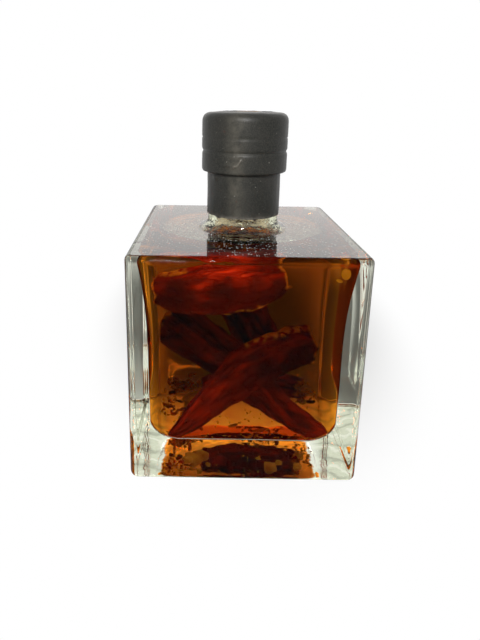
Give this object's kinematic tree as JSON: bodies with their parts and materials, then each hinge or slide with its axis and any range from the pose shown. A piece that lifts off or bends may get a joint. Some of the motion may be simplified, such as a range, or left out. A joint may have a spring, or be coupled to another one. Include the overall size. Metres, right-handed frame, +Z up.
{
  "type": "chili oil bottle",
  "caption": "Square clear glass bottle filled with amber chili oil and dried chilies, closed by a bar-top stopper under a dark shrink capsule.",
  "frame": {"origin": "middle of the underside, on the surface that the bottle stands on", "axes": "+Z up along the neck, X and Y square to the four flat sides"},
  "size_m": [0.075, 0.075, 0.1191],
  "materials": {
    "clear_glass": "clear flint glass, smooth",
    "chili_oil": "clear amber-brown oil",
    "stopper_wood": "bare pale wood",
    "capsule_film": "satin charcoal shrink film"
  },
  "bodies": {
    "root": {"glass_bottle": "clear_glass", "oil": "chili_oil", "stopper": "stopper_wood", "capsule": "capsule_film"}
  },
  "joints": []
}
